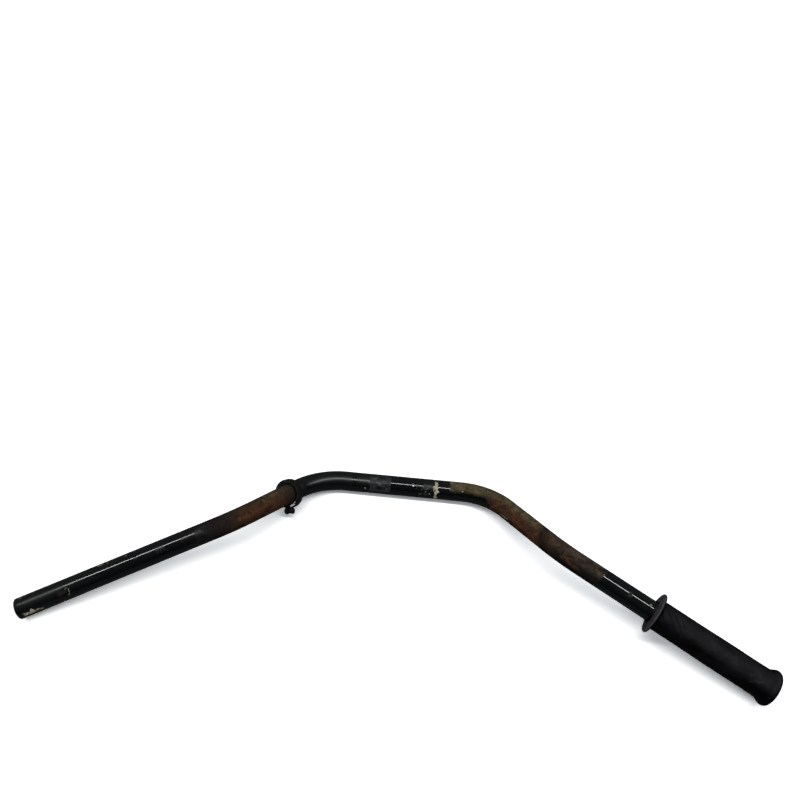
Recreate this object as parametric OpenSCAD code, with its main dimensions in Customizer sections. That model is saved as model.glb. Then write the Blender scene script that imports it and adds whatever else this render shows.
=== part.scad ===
// Handlebar: one bent steel tube with a fixed rubber grip on its right end
// and a small cushioned clamp, sitting askew, on its left leg.
// X runs along the middle of the tube, -Y is the rider's side, +Z is up.
// The origin is the middle of the straight that the fork clamps hold.

/* [Tube] */
// Outside diameter of the tube
tube_od = 22.2; // [22.0:0.1:22.4]
// Wall thickness of the tube
tube_wall = 2.0; // [1.5:0.1:2.5]
// Width of the chamfer on each rim of the tube's ends
rim_chamfer = 0.5; // [0.2:0.1:0.8]

/* [Bends] */
// Distance from the middle to the corner of the inner bend
middle_reach = 98.7; // [95:0.1:110]
// Sweep of the leg towards the rider, in degrees
leg_sweep = 46.9; // [35:0.1:55]
// Rise of the leg, in degrees
leg_rise = 17.6; // [10:0.1:25]
// Length of the leg from corner to corner
leg_length = 116.0; // [112:0.1:130]
// Sweep of the hand section towards the rider, in degrees
hand_sweep = 27.8; // [20:0.1:34]
// Fall of the hand section, in degrees
hand_fall = 7.3; // [3:0.1:12]
// Length of the hand section from its corner to the tube's end
hand_length = 234.6; // [220:0.1:250]
// Centre-line radius of the inner bend
inner_bend_r = 68.5; // [60:0.1:72]
// Centre-line radius of the outer bend
outer_bend_r = 78.3; // [70:0.1:85]

/* [Punch mark] */
// Distance of the punch mark from the middle
punch_x = 12.0; // [8:0.5:14]
// Height of the punch mark round the tube, in degrees above the rider's side
punch_angle = 75; // [0:1:90]
// Radius of the punch mark's round bottom
punch_r = 1.0; // [0.6:0.1:1.4]

/* [Grip] */
// Length of the grip over the tube, without its end wall
grip_length = 131.4; // [115:0.1:140]
// Thickness of the grip's end wall
grip_end_wall = 2.2; // [1.5:0.1:4]
// Outside radius of the grip's hand part
grip_r = 15.75; // [14:0.05:17]
// Radial squeeze of the rubber on the tube
grip_squeeze = 0.1; // [0.05:0.05:0.2]
// Radius of the flange at the inner end
flange_r = 22.2; // [20:0.1:25]
// Thickness of the flange
flange_t = 3.0; // [2:0.1:4]
// Length of the neck between the flange and the open end
neck_length = 3.4; // [2.5:0.1:5]
// Radius of the lip round the open end
neck_r = 12.4; // [12:0.1:13]
// Radius of the bead at the outer end
bead_r = 19.0; // [17:0.1:20]
// Width of the bead
bead_w = 8.0; // [6:0.1:10]

/* [Clamp] */
// Distance of the clamp's middle from the corner of the inner bend
clamp_reach = 44.1; // [43:0.1:46]
// Angle between the clamp's axis and the tube, in degrees
clamp_skew = 27.7; // [10:0.1:28]
// Direction of that tilt round the tube, in degrees
skew_turn = 17.8; // [0:0.1:90]
// Direction of the ears round the clamp's axis, in degrees
ear_turn = -57.5; // [-90:0.1:0]
// Outside radius of the steel band
band_r = 16.45; // [16.4:0.05:17]
// Thickness of the steel band
band_t = 1.6; // [1.4:0.1:1.6]
// Width of the steel band
band_w = 7.0; // [6:0.1:7]
// Radial running clearance between the cushion and the tube
cushion_clearance = 0.05; // [0.02:0.01:0.1]
// Depth of the crescent gap between the cushion and the band
crescent_depth = 1.5; // [0.5:0.1:1.5]
// Direction of the deepest part of the crescent, in degrees from the ears
crescent_turn = -34; // [-34:1:-20]
// Gap between the two ears
ear_gap = 1.9; // [1:0.1:3]
// Radius of the rounded tip of each ear
ear_tip_r = 2.9; // [2.8:0.1:3.4]

/* [Screw] */
// Distance of the screw from the clamp's middle
screw_reach = 19.8; // [19.8:0.1:21]
// Radius of the M4 screw
screw_r = 2.0; // [1.8:0.1:2]
// Radius of the hole in the ears and the washer
screw_hole_r = 2.15; // [2.1:0.05:2.25]
// Radius of the screw's head
head_r = 3.4; // [3:0.1:3.4]
// Height of the screw's head
head_h = 2.2; // [1.8:0.1:2.6]
// Radius of the washer
washer_r = 3.4; // [3.2:0.1:3.4]
// Thickness of the washer
washer_t = 0.5; // [0.4:0.1:0.8]
// Width of the nut across its flats
nut_af = 7.0; // [6.5:0.1:7]
// Height of the nut
nut_h = 2.9; // [2.2:0.1:3.2]

/* [Hidden] */
$fn = 96;
tube_r = tube_od / 2;
bore_r = tube_r - tube_wall;
cushion_w = band_w - 0.4;       // the cushion stays just inside the band's edges
cushion_r = band_r - band_t - 0.05;
cushion_split = 1.2;            // width of the cut through the cushion at the ears
ear_t = band_t;
ear_face = ear_gap / 2 + ear_t; // outer face of each ear, from the plane between them
ear_root = band_r - band_t;
slot_depth = 0.8;               // depth of the screwdriver slot
slot_w = 1.0;                   // width of the screwdriver slot
shank_past_nut = 0.4;           // length of thread showing beyond the nut
cut = 1;                        // overrun of cutting shapes
let_in = 0.5;                   // length of each straight that runs on into a bend
bend_thinning = 0.01;           // the bends' wall is this much thinner on each face

function heading(sweep, rise) = [cos(rise) * cos(sweep), -cos(rise) * sin(sweep), sin(rise)];
function unit(v) = v / norm(v);
function turn_between(a, b) = acos(a * b);
function corner_reach(radius, a, b) = radius * tan(turn_between(a, b) / 2);
function square_to(v) = unit(cross(v, [0, 0, 1]));

middle_way = [1, 0, 0];
leg_way = heading(leg_sweep, leg_rise);
hand_way = heading(hand_sweep, -hand_fall);
inner_corner = middle_reach * middle_way;
outer_corner = inner_corner + leg_length * leg_way;
inner_trim = corner_reach(inner_bend_r, middle_way, leg_way);
outer_trim = corner_reach(outer_bend_r, leg_way, hand_way);
leg_run = leg_length - inner_trim - outer_trim;
hand_run = hand_length - outer_trim;

// Puts children with their origin at p, their X along x and their Z along z.
module stand(p, x, z) {
  y = cross(z, x);
  multmatrix([
    [x[0], y[0], z[0], p[0]],
    [x[1], y[1], z[1], p[1]],
    [x[2], y[2], z[2], p[2]],
    [0, 0, 0, 1]
  ]) children();
}

// Puts children on the right-hand half, and their mirror image on the left.
module both_sides() {
  children();
  mirror([1, 0, 0]) children();
}

// A straight length of hollow tube from p along a heading, let into the bend at each end.
module straight(p, way, length) {
  stand(p - let_in * way, square_to(way), way)
    linear_extrude(length + 2 * let_in)
      difference() {
        circle(tube_r);
        circle(bore_r);
      }
}

// A bend of hollow tube that turns from heading a to heading b round a corner.
module bend(corner, a, b, radius) {
  start = corner - corner_reach(radius, a, b) * a;
  inward = unit(b - (a * b) * a);
  stand(start, inward, a)
    translate([radius, 0, 0])
      rotate([90, 0, 180])
        rotate_extrude(angle = turn_between(a, b))
          translate([radius, 0])
            difference() {
              circle(tube_r - bend_thinning);
              circle(bore_r + bend_thinning);
            }
}

// The straight hand section, with chamfered rims at the tube's end.
module hand_section() {
  stand(outer_corner + outer_trim * hand_way, square_to(hand_way), hand_way)
    rotate_extrude()
      polygon([
        [bore_r, -let_in],
        [tube_r, -let_in],
        [tube_r, hand_run - rim_chamfer],
        [tube_r - rim_chamfer, hand_run],
        [bore_r + rim_chamfer, hand_run],
        [bore_r, hand_run - rim_chamfer]
      ]);
}

module punch_mark() {
  rotate([-punch_angle, 0, 0])
    translate([punch_x, -tube_r - punch_r / 3, 0])
      sphere(punch_r);
}

module bar_tube() {
  color("#1b1e1f")
    union() {
      difference() {
        straight([inner_trim - middle_reach, 0, 0], middle_way, 2 * (middle_reach - inner_trim));
        punch_mark();
      }
      both_sides() {
        bend(inner_corner, middle_way, leg_way, inner_bend_r);
        straight(inner_corner + inner_trim * leg_way, leg_way, leg_run);
        bend(outer_corner, leg_way, hand_way, outer_bend_r);
        hand_section();
      }
    }
}

// Puts children on the right-hand end, with Z outwards and the origin at the grip's open end.
module on_grip_end() {
  stand(outer_corner + (hand_length - grip_length) * hand_way, square_to(hand_way), hand_way)
    children();
}

// Half outline of the grip: neck, flange, hand part, flare and bead.
module grip_outline() {
  whole = grip_length + grip_end_wall;
  lip = 2.6;
  groove_r = tube_r + 0.5;
  flange_round = flange_t / 2;
  bead_round = bead_w / 2;
  flare = 4;
  square([groove_r, neck_length]);
  square([neck_r, lip]);
  translate([0, neck_length]) square([flange_r - flange_round, flange_t]);
  translate([flange_r - flange_round, neck_length + flange_round]) circle(flange_round);
  translate([0, neck_length]) square([grip_r, whole - neck_length - bead_w]);
  polygon([
    [0, whole - bead_w - flare],
    [grip_r, whole - bead_w - flare],
    [bead_r - bead_round, whole - bead_round],
    [0, whole - bead_round]
  ]);
  translate([0, whole - bead_w]) square([bead_r - bead_round, bead_w]);
  translate([bead_r - bead_round, whole - bead_round]) circle(bead_round);
}

module grip() {
  color("#2c2b2e")
    on_grip_end()
      rotate_extrude()
        difference() {
          grip_outline();
          translate([0, -cut]) square([tube_r - grip_squeeze, grip_length + cut]);
        }
}

// Puts children at the middle of the clamp with Z along the tube.
module on_clamp_tube() {
  centre = inner_corner + clamp_reach * leg_way;
  way = [leg_way[0], -leg_way[1], -leg_way[2]];
  stand([-centre[0], centre[1], centre[2]], cross(square_to(-way), way), way)
    children();
}

// Puts children in the askew clamp's own frame: Z along the band's axis, X out along the ears.
module on_clamp() {
  on_clamp_tube()
    skewed() children();
}

module skewed() {
  rotate([0, 0, skew_turn]) rotate([0, clamp_skew, 0]) rotate([0, 0, ear_turn]) children();
}

module unskewed() {
  rotate([0, 0, -ear_turn]) rotate([0, -clamp_skew, 0]) rotate([0, 0, -skew_turn]) children();
}

// Puts children on the screw's axis, with Z from the head towards the nut.
module on_screw() {
  on_clamp() translate([screw_reach, 0, 0]) rotate([-90, 0, 0]) children();
}

// The rubber sleeve: its bore follows the tube while its outside follows the askew band.
module clamp_cushion() {
  color("#151617")
    on_clamp()
      difference() {
        translate([0, 0, -cushion_w / 2])
          linear_extrude(cushion_w)
            intersection() {
              circle(cushion_r);
              rotate([0, 0, crescent_turn]) translate([-crescent_depth, 0]) circle(cushion_r);
            }
        unskewed() cylinder(h = 4 * band_w, r = tube_r + cushion_clearance, center = true);
        translate([0, -cushion_split / 2, -band_w]) cube([band_r, cushion_split, 2 * band_w]);
      }
}

// One ear of the band, from the ring out to its rounded tip.
module ear() {
  difference() {
    union() {
      translate([ear_root, ear_gap / 2, -band_w / 2])
        cube([screw_reach - ear_root, ear_t, band_w]);
      translate([screw_reach, ear_gap / 2, 0])
        rotate([-90, 0, 0])
          intersection() {
            cylinder(h = ear_t, r = band_w / 2);
            translate([0, -band_w / 2, 0]) cube([ear_tip_r, band_w, ear_t]);
          }
    }
    translate([screw_reach, ear_gap / 2 - cut, 0])
      rotate([-90, 0, 0])
        cylinder(h = ear_t + 2 * cut, r = screw_hole_r);
  }
}

module clamp_band() {
  color("#1d1f20")
    on_clamp()
      union() {
        translate([0, 0, -band_w / 2])
          linear_extrude(band_w)
            difference() {
              circle(band_r);
              circle(band_r - band_t);
              translate([0, -ear_gap / 2]) square([band_r + cut, ear_gap]);
            }
        ear();
        mirror([0, 1, 0]) ear();
      }
}

module clamp_screw() {
  thread_end = ear_face + washer_t + nut_h + shank_past_nut;
  color("#232527")
    on_screw()
      union() {
        translate([0, 0, -ear_face]) cylinder(h = ear_face + thread_end, r = screw_r);
        translate([0, 0, -ear_face - head_h])
          difference() {
            cylinder(h = head_h, r = head_r);
            translate([-slot_w / 2, -head_r - cut, -cut]) cube([slot_w, 2 * (head_r + cut), slot_depth + cut]);
          }
      }
}

module clamp_washer() {
  color("#3a3d3f")
    on_screw()
      translate([0, 0, ear_face])
        difference() {
          cylinder(h = washer_t, r = washer_r);
          translate([0, 0, -cut]) cylinder(h = washer_t + 2 * cut, r = screw_hole_r);
        }
}

module clamp_nut() {
  corner_r = nut_af / 2 / cos(30);
  color("#2b2d2f")
    on_screw()
      translate([0, 0, ear_face + washer_t])
        difference() {
          rotate([0, 0, 30]) cylinder(h = nut_h, r = corner_r, $fn = 6);
          translate([0, 0, -cut]) cylinder(h = nut_h + 2 * cut, r = screw_r);
        }
}

bar_tube();
grip();
clamp_cushion();
clamp_band();
clamp_screw();
clamp_washer();
clamp_nut();
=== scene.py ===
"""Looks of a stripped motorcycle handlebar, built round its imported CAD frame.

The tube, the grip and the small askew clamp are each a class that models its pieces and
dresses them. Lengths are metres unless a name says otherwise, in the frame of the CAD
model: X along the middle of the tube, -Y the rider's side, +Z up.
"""

import logging
import math
from dataclasses import dataclass, field
from enum import Enum

import bpy
import numpy as np
from mathutils import Matrix, Vector, noise

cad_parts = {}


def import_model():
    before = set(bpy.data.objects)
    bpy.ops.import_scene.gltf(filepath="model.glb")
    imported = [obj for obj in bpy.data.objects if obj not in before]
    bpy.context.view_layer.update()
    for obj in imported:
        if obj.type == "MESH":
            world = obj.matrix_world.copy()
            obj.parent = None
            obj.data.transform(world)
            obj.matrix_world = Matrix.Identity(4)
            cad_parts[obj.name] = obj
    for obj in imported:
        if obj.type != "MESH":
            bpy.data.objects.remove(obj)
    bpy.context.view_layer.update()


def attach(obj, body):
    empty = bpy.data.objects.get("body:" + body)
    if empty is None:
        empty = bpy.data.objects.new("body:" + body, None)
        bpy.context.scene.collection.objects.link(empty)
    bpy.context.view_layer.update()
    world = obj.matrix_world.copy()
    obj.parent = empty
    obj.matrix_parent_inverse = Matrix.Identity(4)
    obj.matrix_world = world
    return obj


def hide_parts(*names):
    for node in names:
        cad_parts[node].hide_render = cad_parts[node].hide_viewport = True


LOG = logging.getLogger("handlebar")
MM = 0.001
TUBE_R = 11.1 * MM
PLACE = "place"
FOLD = "fold"
UPNESS = "upness"
Colour = tuple[float, float, float]
Point = tuple[float, float]


class Body(Enum):
    """The CAD bodies that pieces ride on."""

    BAR = "bar"
    CLAMP = "cable_clamp"


class Slot(Enum):
    """The material slots of the pieces."""

    PAINT = "black_paint"
    GRIP = "grip_rubber"
    CUSHION = "cushion_rubber"
    BAND = "clamp_paint"
    FASTENER = "fastener_steel"


# --------------------------------------------------------------------- geometry helpers


def heading(sweep: float, rise: float) -> Vector:
    """Unit vector that sweeps towards the rider and rises by the given degrees."""
    sweep, rise = math.radians(sweep), math.radians(rise)
    return Vector((math.cos(rise) * math.cos(sweep), -math.cos(rise) * math.sin(sweep), math.sin(rise)))


def frame_matrix(place: Vector, x_way: Vector, z_way: Vector) -> Matrix:
    """Matrix that carries local X and Z to the given ways and the origin to place."""
    z_way = z_way.normalized()
    x_way = (x_way - x_way.dot(z_way) * z_way).normalized()
    columns = Matrix((x_way, z_way.cross(x_way), z_way)).transposed().to_4x4()
    return Matrix.Translation(place) @ columns


def deselect() -> None:
    """Leaves object mode clean, so that an operator acts only on the piece in hand."""
    if bpy.context.object and bpy.context.object.mode != "OBJECT":
        bpy.ops.object.mode_set(mode="OBJECT")
    bpy.ops.object.select_all(action="DESELECT")


def focus(piece: bpy.types.Object) -> None:
    """Makes piece the only selected and active object."""
    deselect()
    piece.select_set(True)
    bpy.context.view_layer.objects.active = piece


def name_new(name: str) -> bpy.types.Object:
    """Names the object that a primitive operator has just made."""
    piece = bpy.context.object
    piece.name = piece.data.name = name
    return piece


def settle(piece: bpy.types.Object, matrix: Matrix | None = None) -> bpy.types.Object:
    """Applies the piece's own transform and then matrix to its mesh.

    Args:
        piece: The mesh object, which ends at the origin, unturned and unscaled.
        matrix: Where the piece's own frame goes in the frame of the CAD model.

    Returns:
        The same object.
    """
    focus(piece)
    bpy.ops.object.transform_apply(location=True, rotation=True, scale=True)
    if matrix is not None:
        piece.data.transform(matrix)
        piece.data.update()
    return piece


def apply_modifier(piece: bpy.types.Object, kind: str, **options: object) -> None:
    """Adds one modifier with the given options to piece and applies it."""
    focus(piece)
    modifier = piece.modifiers.new(kind.title(), kind)
    for key, value in options.items():
        setattr(modifier, key, value)
    bpy.ops.object.modifier_apply(modifier=modifier.name)


def cut_away(piece: bpy.types.Object, cutter: bpy.types.Object, operation: str = "DIFFERENCE") -> None:
    """Cuts piece with cutter, or keeps what they share, and removes cutter."""
    apply_modifier(piece, "BOOLEAN", object=cutter, operation=operation, solver="EXACT")
    bpy.data.objects.remove(cutter)


def tidy_normals(piece: bpy.types.Object) -> None:
    """Merges doubled points and turns every face outwards."""
    focus(piece)
    bpy.ops.object.mode_set(mode="EDIT")
    bpy.ops.mesh.select_all(action="SELECT")
    bpy.ops.mesh.remove_doubles(threshold=1e-6)
    bpy.ops.mesh.normals_make_consistent(inside=False)
    bpy.ops.object.mode_set(mode="OBJECT")


def lathe(name: str, outline: list[Point], sides: int, closed: bool = False) -> bpy.types.Object:
    """Turns an outline of (radius, height) points in mm round Z, ring by ring.

    Args:
        name: The new object's name.
        outline: Points from one end to the other. A radius of 0 closes an end.
        sides: Points round each ring.
        closed: Whether the outline's last point joins its first, as on a washer.

    Returns:
        The turned mesh object, in its own frame, with faces outwards.
    """
    tiny = 1e-3
    rings = outline + outline[:1] if closed else outline
    deselect()
    radius, height = max(rings[0][0], tiny), rings[0][1]
    bpy.ops.mesh.primitive_circle_add(vertices=sides, radius=radius * MM, location=(0, 0, height * MM))
    piece = name_new(name)
    settle(piece)
    bpy.ops.object.mode_set(mode="EDIT")
    bpy.ops.mesh.select_all(action="SELECT")
    for next_radius, next_height in rings[1:]:
        next_radius = max(next_radius, tiny)
        move = (0, 0, (next_height - height) * MM)
        bpy.ops.mesh.extrude_region_move(TRANSFORM_OT_translate={"value": move})
        grow = next_radius / radius
        centre = (0, 0, next_height * MM)
        bpy.ops.transform.resize(value=(grow, grow, 1), center_override=centre)
        radius, height = next_radius, next_height
    bpy.ops.mesh.select_all(action="SELECT")
    bpy.ops.mesh.remove_doubles(threshold=2.5 * tiny * MM)
    bpy.ops.object.mode_set(mode="OBJECT")
    tidy_normals(piece)
    return piece


def arc(centre: Point, radius: float, start: float, end: float, steps: int) -> list[Point]:
    """Points of an arc from start to end degrees, as (radius, height) pairs."""
    turns = [math.radians(start + (end - start) * i / steps) for i in range(steps + 1)]
    return [(centre[0] + radius * math.cos(a), centre[1] + radius * math.sin(a)) for a in turns]


def mark(piece: bpy.types.Object, places: np.ndarray) -> None:
    """Stores each point's place in its own frame, and how far it faces up at rest."""
    mesh = piece.data
    count = len(mesh.vertices)
    place = mesh.attributes.new(PLACE, "FLOAT_VECTOR", "POINT")
    place.data.foreach_set("vector", places.astype(np.float32).ravel())
    normals = np.zeros(count * 3, np.float32)
    mesh.vertices.foreach_get("normal", normals)
    upness = mesh.attributes.new(UPNESS, "FLOAT", "POINT")
    upness.data.foreach_set("value", normals.reshape(-1, 3)[:, 2].copy())


def points_of(piece: bpy.types.Object) -> np.ndarray:
    """The piece's points as an array of rows."""
    flat = np.zeros(len(piece.data.vertices) * 3)
    piece.data.vertices.foreach_get("co", flat)
    return flat.reshape(-1, 3)


def set_points(piece: bpy.types.Object, points: np.ndarray) -> None:
    """Writes an array of rows back as the piece's points."""
    piece.data.vertices.foreach_set("co", points.ravel())
    piece.data.update()


def local_places(piece: bpy.types.Object, matrix: Matrix) -> np.ndarray:
    """The piece's points in the frame that matrix places."""
    inverse = np.array(matrix.inverted())
    return points_of(piece) @ inverse[:3, :3].T + inverse[:3, 3]


def hand_over(piece: bpy.types.Object, body: Body, slot: Slot, nodes: tuple[str, ...],
              finishes: list[bpy.types.Material], sharp_degrees: float = 32.0) -> bpy.types.Object:
    """Dresses a finished piece, hangs it on the body that it rides on, and hides the CAD parts that it stands
    in for.
    """
    focus(piece)
    bpy.ops.object.shade_smooth_by_angle(angle=math.radians(sharp_degrees))
    piece.data.materials.clear()
    for finish in finishes:
        piece.data.materials.append(finish)
    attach(piece, body.value)
    if nodes:
        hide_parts(*nodes)
    faces = sum(len(p.vertices) - 2 for p in piece.data.polygons)
    LOG.info("%s: %d triangles on %s", piece.name, faces, body.value)
    return piece


# --------------------------------------------------------------------- the tube's run


@dataclass
class Stretch:
    """One straight or one bend of the tube's centre line."""

    start: Vector
    way: Vector
    length: float
    at: float = 0.0
    hub: Vector | None = None
    axle: Vector | None = None

    @property
    def bend_radius(self) -> float:
        """Centre-line radius of a bend."""
        return (self.start - self.hub).length

    def turn(self) -> float:
        """Angle of a bend in radians."""
        return self.length / self.bend_radius

    def pose(self, along: float) -> tuple[Vector, Vector]:
        """Centre point and heading at a distance from the stretch's own start."""
        if self.hub is None:
            return self.start + self.way * along, self.way
        spin = Matrix.Rotation(along / self.bend_radius, 3, self.axle)
        return self.hub + spin @ (self.start - self.hub), spin @ self.way


@dataclass
class CentreLine:
    """The tube's bent centre line, measured from its middle, negative to the left."""

    middle_reach: float = 98.7 * MM
    leg_way: Vector = field(default_factory=lambda: heading(46.9, 17.6))
    leg_length: float = 116.0 * MM
    hand_way: Vector = field(default_factory=lambda: heading(27.8, -7.3))
    hand_length: float = 234.6 * MM
    inner_bend: float = 68.5 * MM
    outer_bend: float = 78.3 * MM
    stretches: list[Stretch] = field(default_factory=list)

    def __post_init__(self) -> None:
        """Lays the stretches from the left end to the right end."""
        across = Vector((1, 0, 0))
        mirror = Matrix.Diagonal((-1, 1, 1))
        leg_left, hand_left = -(mirror @ self.leg_way), -(mirror @ self.hand_way)
        inner = across * self.middle_reach
        outer = inner + self.leg_way * self.leg_length
        end = outer + self.hand_way * self.hand_length
        corners = [mirror @ end, mirror @ outer, mirror @ inner, inner, outer, end]
        ways = [hand_left, leg_left, across, self.leg_way, self.hand_way]
        radii = [self.outer_bend, self.inner_bend, self.inner_bend, self.outer_bend]
        self._lay(corners, ways, radii)

    def _lay(self, corners: list[Vector], ways: list[Vector], radii: list[float]) -> None:
        """Joins the corners with straights, and rounds each inner corner with a bend."""
        start = corners[0]
        for i, way in enumerate(ways):
            trim = 0.0
            if i < len(radii):
                angle = way.angle(ways[i + 1])
                trim = radii[i] * math.tan(angle / 2)
            stop = corners[i + 1] - way * trim
            self.stretches.append(Stretch(start, way, (stop - start).length))
            if i < len(radii):
                axle = way.cross(ways[i + 1]).normalized()
                hub = stop + axle.cross(way) * radii[i]
                self.stretches.append(Stretch(stop, way, angle * radii[i], hub=hub, axle=axle))
                start = corners[i + 1] + ways[i + 1] * trim
        reach = -sum(s.length for s in self.stretches) / 2
        for stretch in self.stretches:
            stretch.at = reach
            reach += stretch.length

    @property
    def end(self) -> float:
        """Distance of the tube's right end from its middle, along the centre line."""
        return self.stretches[-1].at + self.stretches[-1].length

    def pose(self, along: float) -> tuple[Vector, Vector]:
        """Centre point and heading at a distance from the tube's middle."""
        for stretch in self.stretches:
            if along <= stretch.at + stretch.length:
                break
        return stretch.pose(along - stretch.at)

    def straighten(self, points: np.ndarray) -> np.ndarray:
        """Finds each point's distance along the tube, and its side and up offsets.

        Args:
            points: Rows of points on or near the tube.

        Returns:
            Rows of (along, towards the rider's side, up), as if the tube were straight.
        """
        best = np.full(len(points), np.inf)
        places = np.zeros_like(points)
        for stretch in self.stretches:
            along = self._along(stretch, points)
            inside = np.clip(along, 0, stretch.length)
            poses = [stretch.pose(a) for a in inside]
            centres = np.array([p[0] for p in poses])
            ways = np.array([p[1] for p in poses])
            offset = points - centres
            over = np.einsum("ij,ij->i", offset, ways)
            gap = np.linalg.norm(offset, axis=1)
            side = np.cross(ways, [0.0, 0.0, 1.0])
            side /= np.linalg.norm(side, axis=1)[:, None]
            up = np.cross(side, ways)
            place = np.stack([stretch.at + inside + over, np.einsum("ij,ij->i", offset, side),
                              np.einsum("ij,ij->i", offset, up)], axis=1)
            nearer = gap < best - 1e-7
            places[nearer] = place[nearer]
            best = np.minimum(best, gap)
        return places

    @staticmethod
    def _along(stretch: Stretch, points: np.ndarray) -> np.ndarray:
        """Distance of each point along one stretch, not limited to its ends."""
        if stretch.hub is None:
            return (points - np.array(stretch.start)) @ np.array(stretch.way)
        spoke = np.array((stretch.start - stretch.hub).normalized())
        offset = points - np.array(stretch.hub)
        angle = np.arctan2(offset @ np.array(stretch.way), offset @ spoke)
        return angle * stretch.bend_radius


# --------------------------------------------------------------------- material helpers


def put(tree: bpy.types.NodeTree, kind: str, options: dict | None = None,
        **sockets: object) -> bpy.types.Node:
    """Adds a node, sets its options, and fills or links its inputs by name."""
    node = tree.nodes.new(kind)
    for key, value in (options or {}).items():
        setattr(node, key, value)
    for key, value in sockets.items():
        plug(tree, node.inputs[key.replace("_", " ")], value)
    return node


def plug(tree: bpy.types.NodeTree, socket: bpy.types.NodeSocket, value: object) -> None:
    """Links value to socket if it is a socket, or sets it as the socket's constant."""
    if isinstance(value, bpy.types.NodeSocket):
        tree.links.new(value, socket)
    elif isinstance(value, tuple) and len(value) == 3 and socket.type == "RGBA":
        socket.default_value = (*value, 1.0)
    else:
        socket.default_value = value


def calc(tree: bpy.types.NodeTree, operation: str, a: object, b: object = 0.0, clamp: bool = False) -> object:
    """One step of arithmetic on two values or sockets."""
    node = put(tree, "ShaderNodeMath", {"operation": operation, "use_clamp": clamp})
    plug(tree, node.inputs[0], a)
    plug(tree, node.inputs[1], b)
    return node.outputs[0]


def blend(tree: bpy.types.NodeTree, amount: object, a: object, b: object) -> object:
    """Colour a turned towards colour b by an amount from 0 to 1."""
    node = put(tree, "ShaderNodeMix", {"data_type": "RGBA"})
    plug(tree, node.inputs[0], amount)
    plug(tree, node.inputs[6], a)
    plug(tree, node.inputs[7], b)
    return node.outputs[2]


def ramp(tree: bpy.types.NodeTree, value: object, low: float, high: float, start: object = 0.0,
         end: object = 1.0) -> object:
    """Smooth step of value from low to high, giving start to end."""
    node = put(tree, "ShaderNodeMapRange", {"interpolation_type": "SMOOTHSTEP"}, Value=value, From_Min=low,
               From_Max=high, To_Min=start, To_Max=end)
    return node.outputs[0]


def speckle(tree: bpy.types.NodeTree, place: object, scale: float, detail: float = 4.0,
            roughness: float = 0.6, stretch: tuple[float, float, float] = (1.0, 1.0, 1.0),
            shift: float = 0.0) -> object:
    """Noise value over a place, with its grain stretched or shifted."""
    mapping = put(tree, "ShaderNodeMapping", None, Vector=place, Scale=stretch,
                  Location=(shift, shift, shift))
    node = put(tree, "ShaderNodeTexNoise", None, Vector=mapping.outputs[0], Scale=scale, Detail=detail,
               Roughness=roughness)
    return node.outputs[0]


class EffectGroup:
    """A shader node group with named inputs and one output, built once."""

    def __init__(self, name: str, inputs: dict[str, str], output: str) -> None:
        """Makes the group's sockets. Inputs maps each name to Float or Vector."""
        self.tree = bpy.data.node_groups.new(name, "ShaderNodeTree")
        for socket, kind in inputs.items():
            self.tree.interface.new_socket(socket, in_out="INPUT", socket_type=f"NodeSocket{kind}")
        self.tree.interface.new_socket(output, in_out="OUTPUT", socket_type="NodeSocketFloat")
        self.inside = self.tree.nodes.new("NodeGroupInput").outputs
        self.result = self.tree.nodes.new("NodeGroupOutput").inputs

    def into(self, tree: bpy.types.NodeTree, **sockets: object) -> object:
        """Places the group in a material and returns its output."""
        node = tree.nodes.new("ShaderNodeGroup")
        node.node_tree = self.tree
        for key, value in sockets.items():
            plug(tree, node.inputs[key], value)
        return node.outputs[0]


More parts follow.
